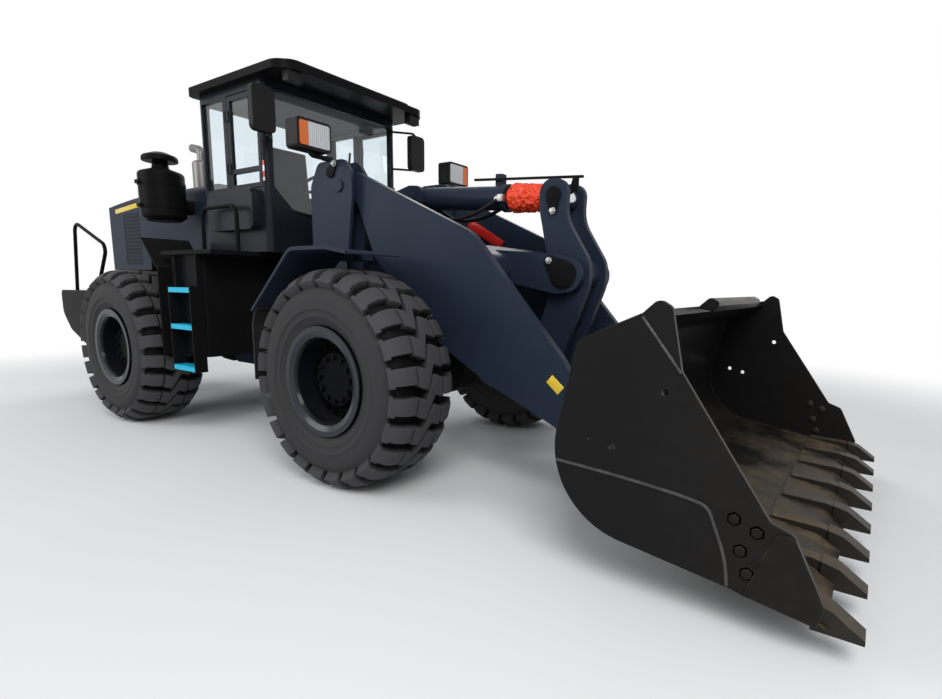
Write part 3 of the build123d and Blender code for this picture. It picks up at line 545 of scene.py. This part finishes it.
lock_plate("crank_pin_keepers", "boom", 1.256, 0.250, 1.550, -2.425, 0.100, 0.150)
lock_plate("tilt_pin_keepers", "bellcrank", 1.110, 0.165, 2.120, 1.53, 0.060, 0.115)
lock_plate("bucket_pin_keepers", "bucket", 1.870, 0.711, 0.575, -1.2, 0.044, 0.085)
lock_plate("boom_pin_keepers", "front_body", -0.640, 0.721, 2.350, -0.8, 0.044, 0.085)

# A reflector low on each arm and a red steel lock strut along the arm's inside,
# which is pinned across the hinge when the machine is carried on a trailer.
reflector_yellow = painted("reflector_yellow", (0.72, 0.50, 0.02), (0.8, 0.7, 0.3), 0.18, 0.15, 0.2,
                           relief=0.2)
for hand, s in SIDES:
    mark = plate((0.118, 0.006, 0.070))
    mark.location = at(1.437, s * 0.653, 0.826)
    mark.rotation_euler = (0, math.radians(40), 0)
    fit(mark, f"arm_reflector_{hand}", reflector_yellow, "boom")
lock_red = painted("lock_red", (0.60, 0.020, 0.016), (0.3, 0.1, 0.08), 0.3, 0.2, 0.4)
strut = plate((0.44, 0.024, 0.085))
shape(strut)
pick(strut, lambda face: abs(face.normal.x) > 0.9)
bpy.ops.mesh.inset(thickness=0.006)
bpy.ops.object.mode_set(mode="OBJECT")
strut.location = at(-0.02, 0.577, 1.945)
strut.rotation_euler = (0, math.radians(30), 0)
fit(strut, "lock_strut", lock_red, "boom")


# The bucket: rolled shell between two cheeks, sprayed black, with bead welds round
# the cheeks. Work has scoured the floor and lip and left them dusty; their ochre tone, like that of
# the worn edges, is partly painted reflection of a yellow surround.
bucket_paint = painted("bucket_paint", (0.0068, 0.0068, 0.0074), (0.10, 0.078, 0.052), 0.27,
                       wear=0.7, dust_colour=(0.115, 0.088, 0.058), Specular_IOR_Level=0.09)
tree = bucket_paint.node_tree
place = node(tree, "TexCoord")
along_machine = node(tree, "SeparateXYZ")
# Dust and ochre rise towards the lip: scour, and painted reflection of a yellow surround.
scour_and_reflection = node(tree, "MapRange", **{"From Min": FRONT_AXLE + 2.2, "From Max": FRONT_AXLE + 3.15,
                                    "To Min": 0.35, "To Max": 2.6})
wire(tree, ((place, "Object"), (along_machine, 0)), ((along_machine, "X"), (scour_and_reflection, "Value")),
     ((scour_and_reflection, 0), (tree.nodes["coat"], "Dust Amount")))
# The teeth's heavy ochre dust is partly real dirt and partly painted reflection of a yellow
# surround.
tooth_iron = painted("tooth_iron", (0.014, 0.0125, 0.0105), (0.13, 0.10, 0.07), 0.42, 1.2, 0.8,
                     dust_colour=(0.17, 0.118, 0.066), relief=0.2, Specular_IOR_Level=0.2)
# The welds are painted lighter than the bucket, partly as painted highlight along each bead.
glinting_weld = painted("glinting_weld", (0.022, 0.022, 0.024), (0.16, 0.15, 0.14), 0.18, 0.2, 0.7,
                    relief=0.4, Specular_IOR_Level=0.5)
coated(bucket_paint, "bucket")
coated(tooth_iron, "bucket_teeth")


def round_line(name, points, radius, steps, roundness):
    """A smooth line past the points, given a round thickness."""
    line = bpy.data.curves.new(name, "CURVE")
    line.dimensions = "3D"
    spline = line.splines.new("NURBS")
    spline.points.add(len(points) - 1)
    for point, spot in zip(spline.points, points):
        point.co = (*spot, 1)
    spline.order_u = 3
    spline.use_endpoint_u = True
    line.resolution_u = steps
    line.bevel_depth = radius
    line.bevel_resolution = roundness
    run = bpy.data.objects.new(name, line)
    bpy.context.scene.collection.objects.link(run)
    return run


def bead(points, radius, name, coat, body):
    """A thin round run, as of weld or wire, made into a mesh."""
    bare(round_line(name, points, radius, 24, 2))
    bpy.ops.object.convert(target="MESH")
    fit(bpy.context.object, name, coat, body)


CHEEK_OUTSIDE, CHEEK_INSIDE = 1.490, 1.465
shell_edge = ((1.905, 0.622), (2.10, 0.612), (2.335, 0.596), (2.585, 0.568),
              (2.640, 0.545), (2.665, 0.480), (2.725, 0.330), (2.735, 0.225))
spill_edge = ((2.300, 1.340), (2.350, 1.28), (2.482, 1.110))
for hand, s in SIDES:
    for name, edge_line, radius in (("cheek", shell_edge, 0.0085), ("spill", spill_edge, 0.007)):
        bead([at(x, s * CHEEK_OUTSIDE, z) for x, z in edge_line], radius,
             f"{name}_weld_{hand}", glinting_weld, "bucket")
cutter_holes = [(s, x, z) for hand, s in SIDES
                for x, z in ((2.741, 0.525), (2.775, 0.393), (2.832, 0.488), (2.808, 0.300))]
edge_bolts = [facing(s, x, s * CHEEK_OUTSIDE, z) for s, x, z in cutter_holes]
edge_nuts = [facing(-s, x, s * CHEEK_INSIDE, z) for s, x, z in cutter_holes]
fit(copied(bolt(0.040, 0.006), edge_bolts), "side_cutter_bolts", bucket_paint, "bucket")
fit(copied(bolt(0.036, 0.020), edge_nuts), "side_cutter_nuts", tooth_iron, "bucket")


# Hydraulic cylinders: honed barrels in the body colour, chromed rods, and a thin
# steel bar on the tilt rod that shows the driver when the bucket lies level.
chrome = painted("chrome", (0.62, 0.63, 0.65), (0.7, 0.7, 0.7), 0.08, 0.1, 0.1, relief=0.0,
                 Metallic=1.0)
coated(slate_paint, "tilt_barrel", "lift_barrel_", "steer_barrel_")
coated(chrome, "tilt_rod", "lift_rod_", "steer_rod_")
coated(black_paint, "level_bar")

# The tilt rod is still in its works wrapping: orange film wound round the chrome,
# taped tight at the barrel and crumpled all over in front of it.
wrap_film = painted("wrap_film", (0.74, 0.046, 0.012), (0.85, 0.20, 0.08), 0.36, 0.05, 0.5,
                    relief=0.15, Specular_IOR_Level=0.35)
rod_start, rod_end = at(-0.3, 0, 2.21), at(1.11, 0, 2.12)
rod_way = (rod_end - rod_start).normalized()
FILM_LENGTH, FILM_RINGS = 0.375, 32
bare()
bpy.ops.mesh.primitive_cylinder_add(vertices=96, radius=0.066, depth=FILM_LENGTH,
                                    end_fill_type="NOTHING")
wrap = bpy.context.object
shape(wrap)
bpy.ops.mesh.select_all(action="SELECT")
bpy.ops.mesh.subdivide(number_cuts=1)
bpy.ops.object.mode_set(mode="OBJECT")
bare(wrap)
finer = wrap.modifiers.new("finer", "SUBSURF")
finer.subdivision_type = "SIMPLE"
finer.levels = finer.render_levels = 1
bpy.ops.object.modifier_apply(modifier="finer")
shape(wrap)
for step in range(1, FILM_RINGS):
    cut = -FILM_LENGTH / 2 + FILM_LENGTH * step / FILM_RINGS
    bpy.ops.mesh.select_all(action="SELECT")
    bpy.ops.mesh.bisect(plane_co=(0, 0, cut), plane_no=(0, 0, 1))
bpy.ops.object.mode_set(mode="OBJECT")
for spot in wrap.data.vertices:
    angle = math.atan2(spot.co.y, spot.co.x)
    along_rod = spot.co.z / (FILM_LENGTH / 2)
    wound = Vector((spot.co.x * 30, spot.co.y * 30, spot.co.z * 44))
    crumple = 1 - 2 * abs(noise.noise(wound)) + 0.6 * (0.5 - abs(noise.noise(wound * 2.1)))
    full = 0.096 - 0.008 * along_rod - 0.020 * abs(along_rod) ** 8
    if along_rod < -0.84:
        crumple *= 0.2
    reach = min(full + 0.018 * (crumple - 0.35), 0.116 if along_rod < 0.4 else 0.106)
    spot.co.x, spot.co.y = reach * math.cos(angle), reach * math.sin(angle)
wrap.matrix_world = (Matrix.Translation(rod_start + rod_way * 1.128)
                     @ rod_way.to_track_quat("Z", "Y").to_matrix().to_4x4())
fit(wrap, "rod_film", wrap_film, "tilt_rod")
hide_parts("rod_wrap")
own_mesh(wrap)

# Two rubber hoses feed the tilt cylinder. Each leaves a plated elbow at the rod
# end and hangs back under the barrel to a clamp at the pivot.
hose_rubber = painted("hose_rubber", (0.0075, 0.0075, 0.0080), (0.03, 0.03, 0.03), 0.5, 0.2, 0.2,
                      relief=0.2, Specular_IOR_Level=0.2)
for number, y, points in (
        (1, -0.118, ((0.585, 2.128), (0.50, 2.085), (0.30, 2.010),
                     (0.05, 1.998), (-0.10, 2.050), (-0.19, 2.118))),
        (2, 0.118, ((0.555, 2.130), (0.46, 2.090), (0.28, 2.022),
                    (0.04, 2.010), (-0.10, 2.056), (-0.19, 2.122)))):
    hose = round_line(f"tilt_hose_{number}", [at(x, y, z) for x, z in points], 0.0155, 16, 4)
    hose.data.use_fill_caps = True
    hose.data.materials.append(hose_rubber)
    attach(hose, "tilt_barrel")
    elbow = plate((0.050, 0.044, 0.056), 0.006)
    shape(elbow)
    pick(elbow, lambda face: face.normal.x < -0.9)
    bpy.ops.mesh.inset(thickness=0.006)
    bpy.ops.mesh.extrude_region_move(TRANSFORM_OT_translate={"value": (-0.030, 0, -0.012)})
    bpy.ops.object.mode_set(mode="OBJECT")
    elbow.location = at(points[0][0] + 0.030, math.copysign(0.112, y), points[0][1] + 0.012)
    fit(elbow, f"tilt_elbow_{number}", galvanised, "tilt_barrel")
    clamp = plate((0.070, 0.060, 0.070), 0.008)
    clamp.location = at(points[-1][0] - 0.022, math.copysign(0.106, y), points[-1][1] + 0.020)
    fit(clamp, f"tilt_clamp_{number}", black_paint, "tilt_barrel")


# The hood over the engine: folded sheet in the body colour, with punched grilles whose holes
# are painted near-black as shade, a yellow strip along each upper edge, and a black air cleaner on
# its right.
punched = painted("punched", (0.0165, 0.0245, 0.0425), (0.05, 0.05, 0.05), 0.4, 0.25, 0.3,
                  Specular_IOR_Level=0.07)
tree = punched.node_tree
place = node(tree, "TexCoord")
spread = node(tree, "SeparateXYZ")
round_corner = node(tree, "Math", operation="ADD")
laid_flat = node(tree, "CombineXYZ")
holes = node(tree, "TexVoronoi", voronoi_dimensions="2D", distance="CHEBYCHEV", Scale=24.0,
             Randomness=0.0)
opened = node(tree, "MapRange", **{"From Min": 0.30, "From Max": 0.34})
depth = node(tree, "Bump", Strength=0.9, Distance=0.006)
coat, bump, surface = tree.nodes["coat"], tree.nodes["Bump"], tree.nodes["Principled BSDF"]
# The holes are not cut: each is painted near-black as the shade behind it, with a bump round its
# rim.
hole_shade = node(tree, "Mix", data_type="RGBA")
hole_shade.inputs["A"].default_value = (0.0012, 0.0012, 0.0014, 1)
wire(tree, ((place, "Object"), (spread, 0)), ((spread, "X"), (round_corner, 0)),
     ((spread, "Y"), (round_corner, 1)), ((round_corner, 0), (laid_flat, "X")),
     ((spread, "Z"), (laid_flat, "Y")), ((laid_flat, 0), (holes, "Vector")),
     ((holes, "Distance"), (opened, "Value")),
     ((opened, 0), (hole_shade, "Factor")), ((coat, "Color"), (hole_shade, "B")),
     ((hole_shade, "Result"), (surface, "Base Color")), ((opened, 0), (depth, "Height")),
     ((bump, 0), (depth, "Normal")), ((depth, 0), (surface, "Normal")))
coated(slate_paint, "hood")
coated(punched, "radiator")
coated(black_paint, "air_cleaner")
coated(steel, "exhaust")
for hand, s in SIDES:
    strip = plate((0.700, 0.006, 0.054), 0.002)
    strip.location = at(-4.42, s * 0.652, 2.318)
    strip.rotation_euler = (0, math.radians(-4.2), 0)
    fit(strip, f"hood_edge_strip_{hand}", reflector_yellow, "rear_body")
for number, z in ((1, 2.20), (2, 2.42)):
    bare()
    bpy.ops.mesh.primitive_cylinder_add(vertices=72, radius=0.2135, depth=0.034,
                                        end_fill_type="NOTHING")
    band = bpy.context.object
    shape(band)
    bpy.ops.mesh.select_all(action="SELECT")
    bpy.ops.mesh.extrude_region_shrink_fatten(TRANSFORM_OT_shrink_fatten={"value": 0.003})
    pick(band, lambda face: face.normal.y < -0.94 and face.center.y < -0.2
         and abs(face.center.x) < 0.03)
    bpy.ops.mesh.extrude_region_move(TRANSFORM_OT_translate={"value": (0, -0.026, 0)})
    bpy.ops.object.mode_set(mode="OBJECT")
    band.location = at(-2.98, -0.93, z)
    fit(band, f"cleaner_band_{number}", black_paint, "rear_body")


# Deck, tanks, ladders and rails are welded and sprayed black. The ladder's treads
# still have their blue protective film, pulled tight round each step.
cyan_film = painted("cyan_film", (0.003, 0.42, 0.64), (0.10, 0.6, 0.75), 0.26, 0.05, 0.4,
                    relief=0.0, Specular_IOR_Level=0.2)
tree = cyan_film.node_tree
place = node(tree, "TexCoord")
stretch = node(tree, "Mapping", Scale=(9.0, 30.0, 30.0))
creased = node(tree, "TexNoise", Scale=2.2, Detail=3.0, Distortion=1.4)
depth = node(tree, "Bump", Strength=0.55, Distance=0.012)
wire(tree, ((place, "Object"), (stretch, 0)), ((stretch, 0), (creased, "Vector")),
     ((creased, 0), (depth, "Height")), ((tree.nodes["Bump"], 0), (depth, "Normal")),
     ((depth, 0), (tree.nodes["Principled BSDF"], "Normal")))
rubber = painted("rubber", (0.013, 0.013, 0.0138), (0.03, 0.03, 0.03), 0.62, 0.4, 0.2,
                 relief=0.1, Specular_IOR_Level=0.2)
coated(cyan_film, "step_treads")
coated(rubber, "mud_flaps")
coated(black_paint, "deck", "ladders_and_rails", "rear_fenders")


# The cab: a black steel box with tall posts, a flat roof with rain edge and clear
# panes, and the lamps and mirrors round it. A grey lining hangs under the roof.
plastic = painted("plastic", (0.0095, 0.0095, 0.0105), (0.03, 0.03, 0.03), 0.42, 0.25, 0.2,
                  relief=0.12, Specular_IOR_Level=0.1)
amber = painted("amber", (0.62, 0.115, 0.008), (0.7, 0.2, 0.05), 0.12, 0.1, 0.1, relief=0.05)
red_lens = painted("red_lens", (0.34, 0.012, 0.012), (0.5, 0.05, 0.05), 0.12, 0.1, 0.1, relief=0.05)
lens = painted("lens", (0.52, 0.54, 0.55), (0.7, 0.7, 0.7), 0.08, 0.05, 0.1, relief=0.3)
tree = lens.node_tree
place = node(tree, "TexCoord")
flutes = node(tree, "TexWave", Scale=16.0, bands_direction="Y")
depth = node(tree, "Bump", Strength=0.7, Distance=0.006)
wire(tree, ((place, "Object"), (flutes, "Vector")), ((flutes, 1), (depth, "Height")),
     ((depth, 0), (tree.nodes["Principled BSDF"], "Normal")))
glass = finish("glass", Base_Color=(0.86, 0.92, 0.95, 1), Roughness=0.02,
               Transmission_Weight=1.0, IOR=1.45)[0]
cab_paint = painted("cab_paint", (0.0095, 0.0118, 0.0170), (0.07, 0.066, 0.062), 0.24, dust=0.2,
                    Specular_IOR_Level=0.11)
coated(cab_paint, "cab_shell", "door_left", "door_right")
coated(black_paint, "cab_roof")
coated(glass, "cab_glass", "door_glass_")
coated(plastic, "mirrors", "headlamps", "roof_lamps")
coated(amber, "turn_lamps")
coated(red_lens, "tail_lamps")
coated(lens, "headlamp_lenses")
lining = painted("lining", (0.22, 0.22, 0.215), (0.25, 0.25, 0.24), 0.8, 0.1, 0.1, relief=0.3)
headliner = plate((0.900, 1.460, 0.030), 0.012)
shape(headliner)
pick(headliner, lambda face: face.normal.z < -0.9)
bpy.ops.mesh.inset(thickness=0.10, depth=0.010)
bpy.ops.object.mode_set(mode="OBJECT")
headliner.location = at(-1.92, 0, 3.134)
fit(headliner, "headliner", lining, "rear_body")

# The driver's seat: foam cushions in grey woven cloth on a boxed pedestal, behind
# a steering wheel with one cross spoke on a raked column.
seat_cloth = painted("seat_cloth", (0.016, 0.0165, 0.018), (0.03, 0.03, 0.03), 0.85, 0.15, 0.1,
                     relief=0.0, Specular_IOR_Level=0.15)
tree = seat_cloth.node_tree
place = node(tree, "TexCoord")
weft = node(tree, "TexWave", Scale=320.0, bands_direction="X")
warp = node(tree, "TexWave", Scale=320.0, bands_direction="Z")
weave = node(tree, "Math", operation="MULTIPLY")
depth = node(tree, "Bump", Strength=0.02, Distance=0.0005)
wire(tree, ((place, "Object"), (weft, "Vector")), ((place, "Object"), (warp, "Vector")),
     ((weft, 1), (weave, 0)), ((warp, 1), (weave, 1)), ((weave, 0), (depth, "Height")),
     ((depth, 0), (tree.nodes["Principled BSDF"], "Normal")))


def cushion(size, spot, lean, name):
    """A crowned foam pad: a cut-up block whose sides pull in between its corners."""
    bare()
    bpy.ops.mesh.primitive_cube_add(size=1)
    pad = bpy.context.object
    pad.scale = size
    bpy.ops.object.transform_apply(scale=True)
    shape(pad)
    bpy.ops.mesh.select_all(action="SELECT")
    bpy.ops.mesh.subdivide(number_cuts=5)
    pick(pad, lambda face: face.normal.z > 0.9 and abs(face.center.x) < 0.28 * size[0]
         and abs(face.center.y) < 0.28 * size[1])
    bpy.ops.transform.translate(value=(0, 0, 0.014))
    pick(pad, lambda face: abs(face.normal.z) < 0.1 and abs(face.center.z) < 0.1 * size[2])
    bpy.ops.transform.resize(value=(0.985, 0.985, 1), center_override=(0, 0, 0))
    bpy.ops.object.mode_set(mode="OBJECT")
    soften(pad, 0.022, 3, 50)
    bare(pad)
    smooth = pad.modifiers.new("smooth", "SUBSURF")
    smooth.levels = smooth.render_levels = 1
    bpy.ops.object.modifier_apply(modifier="smooth")
    pad.location = spot
    pad.rotation_euler = (0, lean, 0)
    fit(pad, name, seat_cloth, "rear_body")


cushion((0.49, 0.50, 0.115), at(-1.995, 0, 2.150), 0, "seat_cushion")
cushion((0.62, 0.47, 0.100), at(-2.222, 0, 2.530), math.radians(85), "seat_back")
pedestal = plate((0.440, 0.450, 0.290), 0.02)
shape(pedestal)
pick(pedestal, lambda face: face.normal.z < -0.9)
bpy.ops.transform.resize(value=(0.8, 0.8, 1))
bpy.ops.object.mode_set(mode="OBJECT")
pedestal.location = at(-2.005, 0, 1.932)
fit(pedestal, "seat_pedestal", plastic, "rear_body")
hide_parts("seat_and_wheel")
column = plate((0.095, 0.095, 0.660), 0.015)
shape(column)
pick(column, lambda face: face.normal.z > 0.9)
bpy.ops.transform.resize(value=(0.7, 0.7, 1))
bpy.ops.object.mode_set(mode="OBJECT")
column.location = at(-1.590, 0, 2.118)
column.rotation_euler = (0, math.radians(-9.5), 0)
fit(column, "steering_column", plastic, "rear_body")
bare()
bpy.ops.mesh.primitive_torus_add(major_radius=0.190, minor_radius=0.015, major_segments=64,
                                 minor_segments=14)
hand_wheel = bpy.context.object
shape(hand_wheel)
pick(hand_wheel, lambda face: abs(face.center.y) < 0.025 and math.hypot(*face.center[:2]) < 0.18)
bpy.ops.mesh.extrude_region_move()
bpy.ops.transform.resize(value=(0.05, 1, 1), center_override=(0, 0, 0))
bpy.ops.object.mode_set(mode="OBJECT")
hand_wheel.location = at(-1.645, 0, 2.452)
hand_wheel.rotation_euler = (0, math.radians(-20.4), 0)
fit(hand_wheel, "steering_wheel", plastic, "rear_body")

# A wiper sweeps the windscreen from its lower edge: a pressed arm with a rubber
# blade, and a red and white marker strip is stuck on each front post.
arm_line = ((0.068, 2.075), (0.075, 2.16), (0.10, 2.40), (0.125, 2.55))
bead([at(-1.398, y, z) for y, z in arm_line], 0.008, "wiper_arm", plastic, "rear_body")
blade = plate((0.014, 0.018, 0.520), 0.003)
blade.location = at(-1.412, 0.13, 2.50)
blade.rotation_euler = (math.radians(-8), 0, 0)
fit(blade, "wiper_blade", rubber, "rear_body")
marker, tree, surface = finish("marker", Roughness=0.3)
place = node(tree, "TexCoord")
upright = node(tree, "SeparateXYZ")
BAND = 0.05
bands = node(tree, "Math", operation="PINGPONG")
bands.inputs[1].default_value = BAND
half_band = node(tree, "Math", operation="GREATER_THAN")
half_band.inputs[1].default_value = BAND / 2
grain = node(tree, "TexNoise", Scale=400.0)
pattern = node(tree, "Mix", data_type="RGBA")
pattern.inputs["A"].default_value = (0.50, 0.015, 0.02, 1)
pattern.inputs["B"].default_value = (0.72, 0.72, 0.70, 1)
bump = node(tree, "Bump", Strength=0.2, Distance=0.001)
wire(tree, ((place, "Object"), (upright, 0)), ((upright, "Z"), (bands, 0)),
     ((bands, 0), (half_band, 0)), ((half_band, 0), (pattern, "Factor")),
     ((pattern, "Result"), (surface, "Base Color")), ((place, "Object"), (grain, "Vector")),
     ((grain, 0), (bump, "Height")), ((bump, 0), (surface, "Normal")))
for hand, s in SIDES:
    mark = plate((0.024, 0.004, 0.170), 0.001)
    mark.location = at(-1.432, s * 0.801, 2.43)
    fit(mark, f"post_marker_{hand}", marker, "rear_body")
